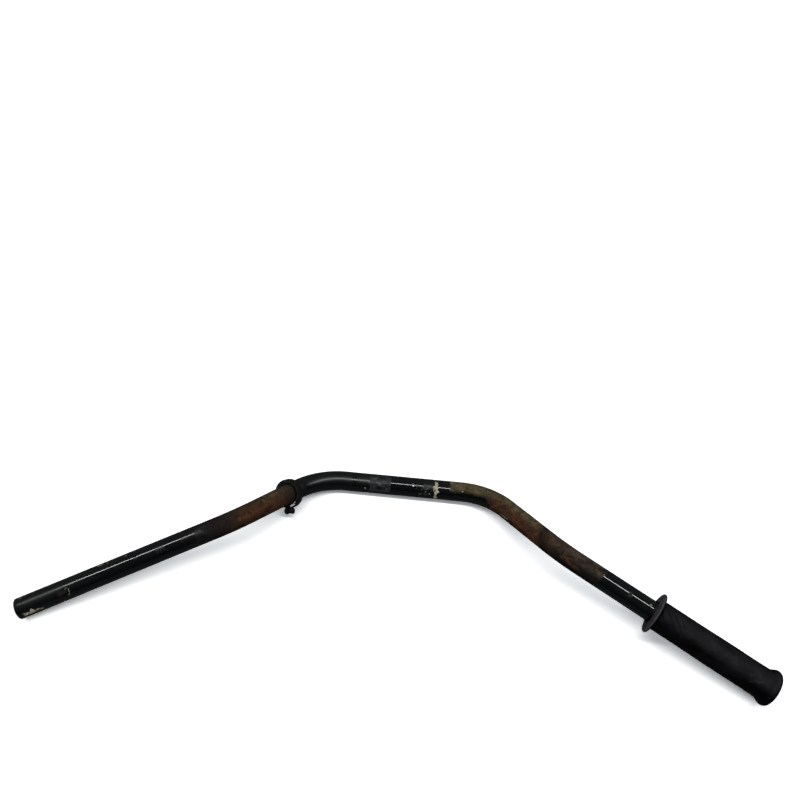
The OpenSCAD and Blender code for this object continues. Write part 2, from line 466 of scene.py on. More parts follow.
class Effects:
    """The effects that the finishes share."""

    def __init__(self) -> None:
        """Builds each group once."""
        self.span = self._span()
        self.spot = self._spot()
        self.dust = self._dust()
        self.grain = self._grain()

    @staticmethod
    def _span() -> EffectGroup:
        """A mask between two distances, with soft ends that a wobble pushes about."""
        inputs = dict.fromkeys(("Along", "Start", "End", "Soft", "Wobble"), "Float")
        group = EffectGroup("Span", inputs, "Mask")
        tree, inside = group.tree, group.inside
        at = calc(tree, "ADD", inside["Along"], inside["Wobble"])
        rise = calc(tree, "DIVIDE", calc(tree, "SUBTRACT", at, inside["Start"]), inside["Soft"], clamp=True)
        fall = calc(tree, "DIVIDE", calc(tree, "SUBTRACT", inside["End"], at), inside["Soft"], clamp=True)
        tree.links.new(calc(tree, "MULTIPLY", rise, fall), group.result["Mask"])
        return group

    @staticmethod
    def _spot() -> EffectGroup:
        """How far a place is from a tilted oval on an unrolled round piece: 1 at its ragged edge."""
        inputs = dict.fromkeys(("Unrolled", "Middle", "Tilt", "Size"), "Vector") | {"Ragged": "Float"}
        group = EffectGroup("Spot", inputs, "Reach")
        tree, inside = group.tree, group.inside
        laid = put(tree, "ShaderNodeMapping", {"vector_type": "TEXTURE"}, Vector=inside["Unrolled"],
                   Location=inside["Middle"], Rotation=inside["Tilt"], Scale=inside["Size"])
        length = put(tree, "ShaderNodeVectorMath", {"operation": "LENGTH"})
        plug(tree, length.inputs[0], laid.outputs[0])
        tree.links.new(calc(tree, "ADD", length.outputs["Value"], inside["Ragged"]), group.result["Reach"])
        return group

    @staticmethod
    def _dust() -> EffectGroup:
        """Dust that lies on what faces up, in cloudy patches."""
        group = EffectGroup("Settled dust", {"Place": "Vector", "Upness": "Float", "Amount": "Float"}, "Mask")
        tree, inside = group.tree, group.inside
        clouds = ramp(tree, speckle(tree, inside["Place"], 60.0, 5.0, 0.65), 0.3, 0.75, 0.35, 1.0)
        specks = ramp(tree, speckle(tree, inside["Place"], 900.0, 2.0, 0.7), 0.35, 0.7, 0.6, 1.0)
        lying = ramp(tree, inside["Upness"], 0.60, 1.0)
        cover = calc(tree, "MULTIPLY", calc(tree, "MULTIPLY", clouds, specks), lying)
        tree.links.new(calc(tree, "MULTIPLY", cover, inside["Amount"], clamp=True), group.result["Mask"])
        return group

    @staticmethod
    def _grain() -> EffectGroup:
        """Fine height grain at a given coarseness."""
        group = EffectGroup("Fine grain", {"Place": "Vector", "Coarseness": "Float"}, "Height")
        tree, inside = group.tree, group.inside
        node = put(tree, "ShaderNodeTexNoise", None, Vector=inside["Place"], Scale=inside["Coarseness"],
                   Detail=6.0, Roughness=0.7)
        tree.links.new(node.outputs[0], group.result["Height"])
        return group


class Finish:
    """A node material in the making, with the piece's stored place and upness at hand."""

    def __init__(self, name: str, effects: Effects) -> None:
        """Makes the material and its first nodes."""
        self.material = bpy.data.materials.new(name)
        self.material.use_nodes = True
        self.tree = self.material.node_tree
        self.shader = self.tree.nodes["Principled BSDF"]
        self.effects = effects
        self.place = put(self.tree, "ShaderNodeAttribute", {"attribute_name": PLACE}).outputs["Vector"]
        self.upness = put(self.tree, "ShaderNodeAttribute", {"attribute_name": UPNESS}).outputs["Fac"]
        parts = put(self.tree, "ShaderNodeSeparateXYZ", None, Vector=self.place)
        self.along, self.side, self.up = parts.outputs
        self.round = calc(self.tree, "ARCTAN2", self.up, self.side)

    def set(self, **sockets: object) -> None:
        """Fills or links the Principled shader's inputs by name."""
        for key, value in sockets.items():
            plug(self.tree, self.shader.inputs[key.replace("_", " ")], value)

    def relief(self, height: object, distance: float, strength: float = 1.0, below: object = None) -> object:
        """A Bump node of the given height, laid over an earlier one."""
        node = put(self.tree, "ShaderNodeBump", None, Height=height, Distance=distance, Strength=strength)
        if below is not None:
            plug(self.tree, node.inputs["Normal"], below)
        return node.outputs[0]

    def noise(self, scale: float, detail: float = 4.0, roughness: float = 0.6,
              stretch: tuple[float, float, float] = (1.0, 1.0, 1.0), shift: float = 0.0) -> object:
        """Noise over the piece's own place."""
        return speckle(self.tree, self.place, scale, detail, roughness, stretch, shift)

    def dust(self, amount: float) -> object:
        """The shared dust mask for this piece."""
        return self.effects.dust.into(self.tree, Place=self.place, Upness=self.upness, Amount=amount)

    def grain(self, coarseness: float) -> object:
        """The shared fine grain for this piece."""
        return self.effects.grain.into(self.tree, Place=self.place, Coarseness=coarseness)

    def span(self, stretch: "Stain | tuple[float, float, float]", wobble: object = 0.0) -> object:
        """Mask of a stretch along the piece, given as its start, end and softness in mm."""
        start, end, soft = (x * MM for x in getattr(stretch, "value", stretch))
        return self.effects.span.into(self.tree, Along=self.along, Start=start, End=end, Soft=soft,
                                      Wobble=wobble)

    def step(self, value: object, low: float, high: float, start: object = 0.0, end: object = 1.0) -> object:
        """Smooth step of value from low to high, giving start to end."""
        return ramp(self.tree, value, low, high, start, end)

    def blend(self, amount: object, below: object, above: object) -> object:
        """Colour below turned towards colour above by an amount from 0 to 1."""
        return blend(self.tree, amount, below, above)

    def times(self, a: object, b: object) -> object:
        """Product of two values or masks."""
        return calc(self.tree, "MULTIPLY", a, b)

    def plus(self, a: object, b: object) -> object:
        """Sum of two values."""
        return calc(self.tree, "ADD", a, b)

    def rest(self, mask: object) -> object:
        """What a mask leaves free."""
        return calc(self.tree, "SUBTRACT", 1.0, mask)

    def sway(self, value: object, size: float) -> object:
        """A noise value centred on 0 and scaled to a size."""
        return self.times(calc(self.tree, "SUBTRACT", value, 0.5), size)

    def most(self, masks: list[object]) -> object:
        """The strongest of several masks at each point."""
        strongest = masks[0]
        for mask in masks[1:]:
            strongest = calc(self.tree, "MAXIMUM", strongest, mask)
        return strongest


class Zone(Enum):
    """Stretches of the tube, in mm from its middle, that each carry their own patches."""

    LEFT = (-450.0, -150.0)
    MIDDLE = (-150.0, 80.0)
    RIGHT = (80.0, 450.0)


@dataclass(frozen=True)
class Patch:
    """An oval patch on the tube: where it is, and its half sizes and tilt.

    at and the half sizes long and wide are in mm along the unrolled surface, level is in
    degrees above the rider's side, and tilt is in degrees from the tube's own direction.
    """

    at: float
    level: float
    long: float
    wide: float
    tilt: float = 0.0
    ragged: float = 0.5


class PatchKind(Enum):
    """What a patch on the tube's paint is made of, with the patches of that kind."""

    CREAM = (
        Patch(-437, 8, 3.2, 1.1, 10, 1.0), Patch(-433, 15, 6.0, 1.5, -18, 1.0),
        Patch(-430, 24, 2.2, 0.8, 60, 0.8), Patch(-428, 17, 1.2, 3.0, 25, 1.0),
        Patch(-424, 16, 2.6, 0.9, 12, 0.9), Patch(-420, 11, 1.8, 0.8, -10, 0.9),
        Patch(-388.2, 47, 3.2, 0.20, 82, 0.20), Patch(-390.6, 66, 1.6, 0.20, 34, 0.15),
        Patch(-389.8, 27, 1.3, 0.2, 116, 0.2), Patch(134, 13, 6, 0.4, 2, 0.9),
        # The four small patches on the right knurled band, from 24 to 31 mm, are painted sparkle of light,
        # laid as tiny chips.
        Patch(28.5, 60, 0.5, 0.5, 0, 0.3), Patch(24, 63, 0.4, 0.3, 0, 0.3),
        Patch(26.5, 40, 0.6, 0.5, 30, 0.5), Patch(31, 30, 0.5, 0.7, 60, 0.5),
    )
    # GLINT patches are painted highlights: near-white spots where the gloss catches the lamp, one of them on
    # the punch mark.
    GLINT = (
        Patch(11.8, 70, 0.9, 0.8, 20, 0.2), Patch(-43.2, 27, 0.6, 0.5, 0, 0.3),
        Patch(68.6, 62, 0.5, 0.4, 0, 0.2),
    )
    TAN = (
        Patch(-437, 122, 2.2, 1.0, 0, 1.0), Patch(-408, 128, 1.6, 0.7, 0, 1.0),
        Patch(-352, 122, 3.4, 1.2, 8, 1.2), Patch(-345, 118, 2.0, 1.0, -20, 1.2),
        Patch(-325, 112, 0.8, 0.5, 0, 0.9), Patch(-445, 104, 1.6, 3.0, 0, 0.9),
        Patch(62, 90, 1.2, 0.6, 20, 0.9), Patch(56, 116, 1.4, 1.6, 0, 1.2),
        Patch(309, 88, 1.6, 1.4, 30, 0.9),
    )
    GREY = (
        Patch(-37, 66, 2.6, 0.5, 6, 0.9), Patch(-28.5, 66, 3.4, 0.9, -12, 1.0),
        Patch(-27, 58, 2.0, 0.7, -50, 1.0), Patch(-21, 68, 2.4, 0.4, 4, 0.9),
        Patch(-33, 92, 2.6, 0.8, 20, 1.1), Patch(-24, 18, 6.5, 0.8, 2, 1.0),
        Patch(-15.6, 62, 6.0, 0.25, 90, 0.35), Patch(-38.8, 70, 5.0, 0.22, 90, 0.4),
        Patch(-19, 34, 1.6, 1.0, 40, 1.0), Patch(-292, 64, 2.6, 0.2, 64, 0.4),
        Patch(-288.5, 66, 2.9, 0.2, 66, 0.4), Patch(-285.5, 64, 2.2, 0.18, 70, 0.4),
    )
    SCUFF = (
        Patch(-316, 74, 2.6, 1.6, 0, 0.9), Patch(-290, 70, 4.2, 2.4, 0, 0.9),
        Patch(-263, 72, 6, 2.4, 0, 0.9), Patch(287, 72, 2.4, 2.6, 0, 0.4),
    )
    BROWN = (
        Patch(-396, 52, 5.5, 2.2, 0, 1.1), Patch(287, 76, 2.2, 3.4, 10, 0.6),
        Patch(251, 104, 6, 2.5, 0, 1.2),
    )
    RED = (
        Patch(216, 42, 7, 2.6, 10, 1.5), Patch(226, 34, 7, 2.2, 0, 1.5), Patch(121, 66, 5, 2.2, 20, 1.1),
        Patch(-196, 50, 14, 3.0, 0, 1.6), Patch(150, 34, 22, 2.4, 0, 1.6),
    )


class Stain(Enum):
    """Stretches of the tube's paint, each a start, an end and the softness of its edges in mm."""

    CLEAN_UNDERSIDE = (40, 109, 3)
    DIRT = (53.5, 256, 3)
    OLD_DIRT = (186, 270, 16)
    FILM = (-262, -110, 34)
    RUST_LEFT = (-226, -128, 36)
    RUST_RIGHT = (92, 212, 24)
    ORANGE_LEFT = (-196, -138, 24)
    ORANGE_RIGHT = (106, 200, 16)
    DUSTY_LEFT = (-184, -120, 16)
    DUSTY_RIGHT = (60, 195, 20)
    DARK_STREAK = (186, 203, 6)
    BAND_LEFT = (-39.1, -13.8, 0.5)
    BAND_RIGHT = (14.8, 39.3, 0.8)
    PRIMER_RING = (35.7, 40.2, 0.8)
    HAZE_LEFT = (-470, -362, 44)
    HAZE_BEND = (-124, -50, 14)
    HAZE_BAND = (-56, -38, 3)


@dataclass(frozen=True)
class Grains:
    """Noises of three sizes over one finish, and how far they push the edges of its marks."""

    broad: object
    middling: object
    fine: object
    ragged: object
    wobble: object

    @classmethod
    def of(cls, finish: Finish) -> "Grains":
        """Makes the noises of a finish."""
        middling = finish.noise(130.0, 6.0, 0.65)
        return cls(broad=finish.noise(30.0, 5.0, 0.6), middling=middling, fine=finish.noise(520.0, 5.0, 0.7),
                   ragged=finish.sway(middling, 3.0), wobble=finish.sway(middling, 0.05))


@dataclass(frozen=True)
class Soil:
    """Masks of where the paint is dirty, matt, rusted, orange, or dusty on top."""

    dirt: object
    film: object
    rust_left: object
    rust: object
    orange: object
    top: object

    @classmethod
    def of(cls, finish: Finish, grains: Grains) -> "Soil":
        """Makes the masks of a finish. The underside of the right bend stays clean."""
        wobble = grains.wobble
        level = finish.plus(finish.round, finish.times(wobble, 14.0))
        clean = finish.times(finish.span(Stain.CLEAN_UNDERSIDE, wobble), finish.step(level, 1.12, 0.80))
        soiled = finish.rest(clean)
        rust_left = finish.span(Stain.RUST_LEFT, wobble)
        rust_right = finish.times(finish.span(Stain.RUST_RIGHT, wobble), soiled)
        dusty = finish.most([finish.span(Stain.DUSTY_RIGHT, wobble),
                             finish.times(finish.span(Stain.DUSTY_LEFT), 0.7)])
        return cls(
            dirt=finish.times(finish.span(Stain.DIRT, finish.sway(grains.fine, 0.006)), soiled),
            film=finish.span(Stain.FILM, wobble),
            rust_left=rust_left,
            rust=finish.most([rust_left, rust_right]),
            orange=finish.most([finish.times(finish.span(Stain.ORANGE_LEFT, wobble), 0.6),
                                finish.span(Stain.ORANGE_RIGHT, wobble)]),
            top=finish.times(finish.step(finish.round, 1.12, 1.70), dusty),
        )


@dataclass(frozen=True)
class EnamelFinish:
    """Worn gloss black enamel with dust, rust, chips, roughened clamp bands, and painted glints and sparkle.
    """

    black: Colour = (0.0016, 0.0024, 0.0027)
    dust: Colour = (0.060, 0.060, 0.055)
    rust: Colour = (0.040, 0.0175, 0.0080)
    red_rust: Colour = (0.098, 0.033, 0.010)
    dirt: Colour = (0.092, 0.072, 0.036)
    plum: Colour = (0.0105, 0.0066, 0.0060)
    grime: Colour = (0.0060, 0.0050, 0.0038)
    umber: Colour = (0.030, 0.022, 0.010)
    ash: Colour = (0.034, 0.022, 0.018)
    # Pale grey of the painted sparkle on the right knurled band.
    painted_sparkle: Colour = (0.17, 0.18, 0.17)
    cream: Colour = (0.50, 0.46, 0.33)
    scrape: Colour = (0.075, 0.080, 0.078)
    # Near-white colour of the painted highlight on the glint patches.
    painted_glint: Colour = (0.72, 0.74, 0.74)
    tan: Colour = (0.14, 0.12, 0.075)
    band_grey: Colour = (0.020, 0.024, 0.025)
    dust_amount: float = 0.13
    clean_roughness: tuple[float, float] = (0.06, 0.095)
    hazy_roughness: float = 0.31
    dull_roughness: float = 0.88
    clean_shine: float = 0.5
    dull_shine: float = 0.13

    def build(self, effects: Effects, zone: Zone) -> bpy.types.Material:
        """Layers the paint, the soil, the bands and the chips of one zone.

        Args:
            effects: The shared node groups.
            zone: The stretch of the tube whose patches the material carries.

        Returns:
            The finished material.
        """
        finish = Finish(f"worn_black_enamel_{zone.name.lower()}", effects)
        grains = Grains.of(finish)
        soil = Soil.of(finish, grains)
        spots = {kind: self._patches(finish, kind, zone, grains.ragged) for kind in PatchKind}
        cream = finish.most([spots[PatchKind.CREAM], self._primer_ring(finish)])
        dust = finish.dust(self.dust_amount)
        colour = finish.blend(dust, self.black, self.dust)
        colour = self._soiled(finish, grains, soil, colour)
        colour = self._spotted(finish, grains, spots, colour)
        colour = self._banded(finish, grains, spots, colour)
        colour = self._chipped(finish, grains, spots, cream, colour)
        worn_band = finish.times(finish.span(Stain.BAND_RIGHT),
                                 finish.step(grains.middling, 0.4, 0.6, 0.1, 0.5))
        dull = finish.most([soil.dirt, soil.rust_left, soil.film, cream, spots[PatchKind.TAN],
                            finish.times(finish.span(Stain.BAND_LEFT), 0.5), worn_band,
                            finish.times(spots[PatchKind.SCUFF], 0.28), finish.times(dust, 0.3),
                            finish.times(spots[PatchKind.BROWN], 0.6)])
        finish.set(Base_Color=colour, Roughness=self._roughness(finish, grains, dull),
                   Normal=self._relief(finish, grains, soil, spots, cream),
                   Specular_IOR_Level=finish.step(dull, 0.0, 1.0, self.clean_shine, self.dull_shine))
        return finish.material

    def _patches(self, finish: Finish, kind: PatchKind, zone: Zone, ragged: object) -> object:
        """Mask of the patches of one kind that reach into a zone, or 0 if there are none."""
        low, high = zone.value
        margin = 30.0
        across = finish.times(finish.round, TUBE_R)
        unrolled = put(finish.tree, "ShaderNodeCombineXYZ", None, X=finish.along, Y=across).outputs[0]
        nearest = None
        for patch in kind.value:
            if not low - margin < patch.at < high + margin:
                continue
            reach = finish.effects.spot.into(
                finish.tree, Unrolled=unrolled, Middle=(patch.at * MM, math.radians(patch.level) * TUBE_R, 0),
                Tilt=(0, 0, math.radians(patch.tilt)), Size=(patch.long * MM, patch.wide * MM, 1),
                Ragged=finish.times(ragged, patch.ragged))
            nearest = reach if nearest is None else calc(finish.tree, "MINIMUM", nearest, reach)
        return 0.0 if nearest is None else finish.step(nearest, 1.15, 0.85)

    def _primer_ring(self, finish: Finish) -> object:
        """Mask of the broken ring where the right clamp's edge chipped the paint to its primer."""
        edge = finish.sway(finish.noise(210.0, 4.0, 0.6, shift=4.0), 0.012)
        gaps = finish.step(finish.noise(105.0, 3.0, 0.6, shift=9.0), 0.38, 0.46)
        return finish.times(finish.span(Stain.PRIMER_RING, edge), gaps)

    def _soiled(self, finish: Finish, grains: Grains, soil: Soil, colour: object) -> object:
        """Lays the plum film, the olive dirt and the rust over the paint."""
        colour = finish.blend(finish.times(soil.film, 0.75), colour, self.plum)
        mottle = finish.plus(finish.times(grains.middling, 0.5), finish.times(grains.fine, 0.5))
        olive = finish.blend(finish.step(mottle, 0.40, 0.62), self.umber, self.dirt)
        brown_dirt = finish.blend(finish.step(grains.middling, 0.38, 0.60), self.plum, self.ash)
        old = finish.times(finish.span(Stain.OLD_DIRT, grains.wobble), 0.75)
        lying = finish.blend(old, olive, brown_dirt)
        dirty = finish.blend(finish.step(finish.round, 0.72, 1.36), self.grime, lying)
        colour = finish.blend(soil.dirt, colour, dirty)
        tone = finish.plus(finish.times(grains.middling, 0.65), finish.times(grains.fine, 0.35))
        tone = finish.plus(tone, finish.sway(grains.broad, 0.5))
        brown = finish.blend(finish.step(tone, 0.36, 0.52), self.plum, self.rust)
        orange = finish.blend(finish.times(finish.step(tone, 0.50, 0.66), soil.orange), brown, self.red_rust)
        rusty = finish.blend(finish.times(soil.top, 0.9), orange, olive)
        return finish.blend(soil.rust, colour, rusty)

    def _spotted(self, finish: Finish, grains: Grains, spots: dict[PatchKind, object],
                 colour: object) -> object:
        """Lays the red rust patches, the brown smudges and the dark streak over the soil."""
        red = finish.times(spots[PatchKind.RED], finish.step(grains.fine, 0.38, 0.62, 0.0, 0.75))
        colour = finish.blend(red, colour, self.red_rust)
        colour = finish.blend(finish.times(spots[PatchKind.BROWN], 0.85), colour, self.plum)
        streak = finish.span(Stain.DARK_STREAK, finish.times(finish.round, 0.006))
        streak = finish.times(streak, finish.step(grains.middling, 0.35, 0.6, 0.3, 0.9))
        return finish.blend(streak, colour, self.black)

    def _banded(self, finish: Finish, grains: Grains, spots: dict[PatchKind, object],
                colour: object) -> object:
        """Greys the left roughened band, paints sparkle of light on the right one and scrapes both."""
        blotch = finish.step(finish.noise(170.0, 5.0, 0.75, shift=3.0), 0.40, 0.66)
        colour = finish.blend(finish.times(finish.span(Stain.BAND_LEFT), blotch), colour, self.band_grey)
        # Painted highlight: pale flecks over the right knurled band stand in for the sparkle of its knurl.
        sparkle_mask = finish.step(finish.noise(360.0, 4.0, 0.8), 0.61, 0.68)
        colour = finish.blend(finish.times(finish.span(Stain.BAND_RIGHT), sparkle_mask), colour, self.painted_sparkle)
        grey = finish.times(spots[PatchKind.GREY], finish.step(grains.fine, 0.3, 0.7, 0.35, 0.9))
        return finish.blend(grey, colour, self.scrape)

    def _chipped(self, finish: Finish, grains: Grains, spots: dict[PatchKind, object], cream: object,
                 colour: object) -> object:
        """Opens the chips down to the primer, and paints the glints near white as painted highlights."""
        colour = finish.blend(finish.times(spots[PatchKind.TAN], 0.85), colour, self.tan)
        primer = finish.blend(finish.step(grains.fine, 0.3, 0.7), self.tan, self.cream)
        colour = finish.blend(cream, colour, primer)
        # Painted highlight: the glint patches are turned near white.
        return finish.blend(spots[PatchKind.GLINT], colour, self.painted_glint)

    def _roughness(self, finish: Finish, grains: Grains, dull: object) -> object:
        """Roughness of the clean gloss, its hazy stretches and whatever is dull."""
        haze = finish.most([finish.span(Stain.HAZE_LEFT, grains.wobble), finish.span(Stain.HAZE_BEND),
                            finish.span(Stain.HAZE_BAND)])
        clean = finish.step(finish.noise(35.0, 4.0, 0.6, shift=2.0), 0.35, 0.7, *self.clean_roughness)
        gloss = finish.step(haze, 0.0, 1.0, clean, self.hazy_roughness)
        return finish.step(dull, 0.0, 1.0, gloss, self.dull_roughness)

    def _relief(self, finish: Finish, grains: Grains, soil: Soil, spots: dict[PatchKind, object],
                cream: object) -> object:
        """Bumps of the rust and the dirt, and the steps at the edges of the chips."""
        grain = finish.plus(finish.grain(900.0), grains.middling)
        rough = finish.times(grain, finish.most([soil.rust, soil.dirt]))
        chips = finish.most([cream, spots[PatchKind.TAN], finish.times(spots[PatchKind.GREY], 0.4)])
        return finish.relief(finish.rest(chips), 0.0002, 0.6, finish.relief(rough, 0.0004, 0.8))


@dataclass(frozen=True)
class RubberFinish:
    """Matt black rubber with grain, wear and dust, painted shade in its folds, and painted light on its
    strokes and groove.
    """

    name: str
    black: Colour
    worn: Colour
    dust: Colour
    dust_amount: float
    dusty_span: tuple[float, float, float] | None = None
    groove: tuple[float, float] | None = None
    # Where the painted light in a clamp's groove sits, and how pale it is.
    painted_light_turn: float = 0.0
    pale: Colour = (0.60, 0.62, 0.60)
    roughness: tuple[float, float] = (0.52, 0.74)
    shine: float = 0.09

    def build(self, effects: Effects) -> bpy.types.Material:
        """Layers the rubber, its wear and its dust."""
        finish = Finish(self.name, effects)
        cloud = finish.step(finish.noise(45.0, 5.0, 0.65, (1.0, 1.6, 1.6)), 0.35, 0.7)
        colour = finish.blend(cloud, self.black, self.worn)
        colour = finish.blend(finish.dust(self.dust_amount), colour, self.dust)
        if self.dusty_span:
            patchy = finish.step(finish.noise(150.0), 0.3, 0.6, 0.5, 1.0)
            colour = finish.blend(finish.times(finish.span(self.dusty_span), patchy), colour, self.dust)
        if self.groove:
            colour = self._grooved(finish, colour)
        fold = put(finish.tree, "ShaderNodeAttribute", {"attribute_name": FOLD}).outputs["Fac"]
        # Painted shade: the folds are darkened towards black by their depth. The raised strokes are lightened
        # towards the dust colour, partly dust and partly painted sheen.
        colour = finish.blend(finish.step(fold, 0.10, 0.55, 0.0, 0.9), colour, self.black)
        colour = finish.blend(finish.step(fold, -0.02, -0.12, 0.0, 0.3), colour, self.dust)
        pores = finish.step(finish.noise(1400.0, 3.0, 0.6), 0.62, 0.75, 0.0, 0.10)
        colour = finish.blend(pores, colour, self.dust)
        normal = finish.relief(finish.grain(1600.0), 0.00012, 0.6)
        normal = finish.relief(finish.noise(160.0, 4.0, 0.6), 0.0003, 0.35, normal)
        finish.set(Base_Color=colour, Roughness=finish.step(cloud, 0.0, 1.0, *self.roughness), Normal=normal,
                   Specular_IOR_Level=self.shine)
        return finish.material

    def _grooved(self, finish: Finish, colour: object) -> object:
        """Lightens the groove of the clamp's faces in patches towards the dust colour, and paints light into
        it at one turn of the clamp.
        """
        tree = finish.tree
        low, high = (r * MM for r in self.groove)
        soft = 0.1 * MM
        flat = put(tree, "ShaderNodeCombineXYZ", None, X=finish.along, Y=finish.side).outputs[0]
        reach = put(tree, "ShaderNodeVectorMath", {"operation": "LENGTH"})
        plug(tree, reach.inputs[0], flat)
        radius = reach.outputs["Value"]
        groove = finish.times(finish.step(radius, low - soft, low + soft),
                              finish.step(radius, high + soft, high - soft))
        dusty = finish.times(groove, finish.step(finish.noise(260.0), 0.35, 0.6, 0.10, 0.55))
        colour = finish.blend(dusty, colour, self.dust)
        # Painted light: the groove turns pale near one turn of the clamp, at the cushion's crescent.
        turn = calc(tree, "ARCTAN2", finish.side, finish.along)
        away = calc(tree, "ABSOLUTE", calc(tree, "SUBTRACT", turn, math.radians(self.painted_light_turn)))
        pale = finish.times(groove, finish.step(away, math.radians(17), math.radians(11)))
        return finish.blend(pale, colour, self.pale)


@dataclass(frozen=True)
class CoatedSteelFinish:
    """Thin black coating on steel, greyed and chipped in places."""

    name: str
    black: Colour
    grey: Colour
    wear: float
    dust: Colour = (0.07, 0.066, 0.056)
    dust_amount: float = 0.10

    def build(self, effects: Effects) -> bpy.types.Material:
        """Layers the coating, its worn patches and its dust."""
        finish = Finish(self.name, effects)
        patches = finish.noise(420.0, 5.0, 0.7)
        worn = finish.step(patches, 0.5, 0.68, 0.0, self.wear)
        colour = finish.blend(worn, self.black, self.grey)
        colour = finish.blend(finish.dust(self.dust_amount), colour, self.dust)
        finish.set(Base_Color=colour, Roughness=finish.step(patches, 0.3, 0.7, 0.42, 0.62),
                   Metallic=finish.step(worn, 0.0, 1.0, 0.15, 0.7),
                   Normal=finish.relief(finish.grain(2200.0), 0.00005, 0.5))
        return finish.material


# --------------------------------------------------------------------- the tube


@dataclass
class BarTube:
    """The bent steel tube, with its wall, its roughened bands and its punch mark."""

    line: CentreLine
    radius: float = TUBE_R
    wall: float = 2.0 * MM
    rim: float = 0.5 * MM
    sides: int = 96
    coarse_step: float = 4.0 * MM
    band_step: float = 0.62 * MM
    bands: tuple[tuple[float, float], ...] = ((-39.1 * MM, -13.8 * MM), (14.8 * MM, 39.3 * MM))
    knurl_height: float = 0.11 * MM
    punch: tuple[float, float] = (12.0 * MM, math.radians(75))
    punch_reach: float = 1.0 * MM
    punch_depth: float = 0.45 * MM
    fine_reach: float = 1.8 * MM
    fine_step: float = 0.35 * MM
    pitting: float = 0.10 * MM
    pitted: tuple[tuple[float, float], ...] = ((60 * MM, 262 * MM), (-235 * MM, -120 * MM))
    pitting_rise: float = 40 * MM
    pitting_fall: float = 30 * MM

    def step_at(self, along: float) -> float:
        """Ring spacing at a place, finer on the bands and round the punch mark."""
        for start, end in self.bands:
            if start <= along < end:
                return self.band_step
        if abs(along - self.punch[0]) < self.fine_reach:
            return self.fine_step
        return self.coarse_step

    def stops(self, start: float, end: float) -> list[float]:
        """Ring places along one straight, which land on every band edge."""
        edges = [e for band in self.bands for e in band]
        edges += [self.punch[0] - self.fine_reach, self.punch[0] + self.fine_reach]
        edges = sorted([e for e in edges if start < e < end] + [start, end])
        places = []
        for low, high in zip(edges, edges[1:]):
            count = max(1, round((high - low) / self.step_at(low + 1e-6)))
            places += [low + (high - low) * (i + 1) / count for i in range(count)]
        return places

    def build(self, finishes: dict[Zone, bpy.types.Material]) -> bpy.types.Object:
        """Extrudes and spins a ring along the run, then gives it its wall, relief and paint."""
        first = self.line.stretches[0]
        deselect()
        bpy.ops.mesh.primitive_circle_add(vertices=self.sides, radius=self.radius)
        piece = name_new("steel_tube")
        side = first.way.cross(Vector((0, 0, 1)))
        settle(piece, frame_matrix(first.start, side, first.way))
        bpy.ops.object.mode_set(mode="EDIT")
        bpy.ops.mesh.select_all(action="SELECT")
        for stretch in self.line.stretches:
            self._run(stretch)
        bpy.ops.object.mode_set(mode="OBJECT")
        tidy_normals(piece)
        apply_modifier(piece, "SOLIDIFY", thickness=self.wall, offset=-1.0, use_even_offset=True)
        apply_modifier(piece, "BEVEL", width=self.rim, segments=3, limit_method="ANGLE",
                       angle_limit=math.radians(60))
        places = self.line.straighten(points_of(piece))
        set_points(piece, points_of(piece) + self._relief(places))
        mark(piece, places)
        hand_over(piece, Body.BAR, Slot.PAINT, ("bar_tube",), list(finishes.values()), 50.0)
        self._share_out(piece, places[:, 0], list(finishes))
        return piece

    @staticmethod
    def _share_out(piece: bpy.types.Object, along: np.ndarray, zones: list[Zone]) -> None:
        """Gives each face the paint of the zone that it lies in."""
        for face in piece.data.polygons:
            middle = np.mean([along[i] for i in face.vertices]) / MM
            inside = (i for i, zone in enumerate(zones) if middle <= zone.value[1])
            face.material_index = next(inside, len(zones) - 1)

    def _run(self, stretch: Stretch) -> None:
        """Carries the selected ring along one straight or round one bend."""
        if stretch.hub is not None:
            steps = round(stretch.length / self.coarse_step)
            bpy.ops.mesh.spin(steps=steps, angle=-stretch.turn(), center=stretch.hub, axis=stretch.axle)
            return
        reached = stretch.at
        for stop in self.stops(stretch.at, stretch.at + stretch.length):
            move = stretch.way * (stop - reached)
            bpy.ops.mesh.extrude_region_move(TRANSFORM_OT_translate={"value": move})
            reached = stop

    def _relief(self, places: np.ndarray) -> np.ndarray:
        """How far each outer point moves: knurls on the bands, the punch mark and pitting."""
        along, side, up = places.T
        radius = np.hypot(side, up)
        outer = radius > self.radius - self.wall / 2
        turn = np.arctan2(up, side)
        lift = np.zeros(len(places))
        column = np.round(turn / (2 * math.pi) * self.sides)
        for start, end in self.bands:
            rows = round((end - start) / self.band_step)
            row = np.round((along - start) / (end - start) * rows)
            inside = outer & (row >= 1) & (row <= rows - 1)
            tooth = (row + column) % 2
            lift[inside] += self.knurl_height * (tooth[inside] - 0.7)
        span = self.radius * np.abs(turn - self.punch[1])
        reach = np.hypot(along - self.punch[0], span) / self.punch_reach
        lift[outer] -= self.punch_depth * np.clip(1 - reach[outer] ** 2, 0, 1)
        rusty = np.zeros(len(places))
        for start, end in self.pitted:
            rise = np.clip((along - start) / self.pitting_rise, 0, 1)
            rusty += rise * np.clip((end - along) / self.pitting_fall, 0, 1)
        for i in np.flatnonzero(outer & (rusty > 0)):
            lift[i] += self.pitting * rusty[i] * noise.noise(Vector(places[i]) * 260.0)
        back = np.zeros_like(places)
        for i in np.flatnonzero(lift):
            centre, way = self.line.pose(along[i])
            across = way.cross(Vector((0, 0, 1))).normalized()
            outward = across * (side[i] / radius[i]) + across.cross(way) * (up[i] / radius[i])
            back[i] = outward * lift[i]
        return back


# --------------------------------------------------------------------- the grip


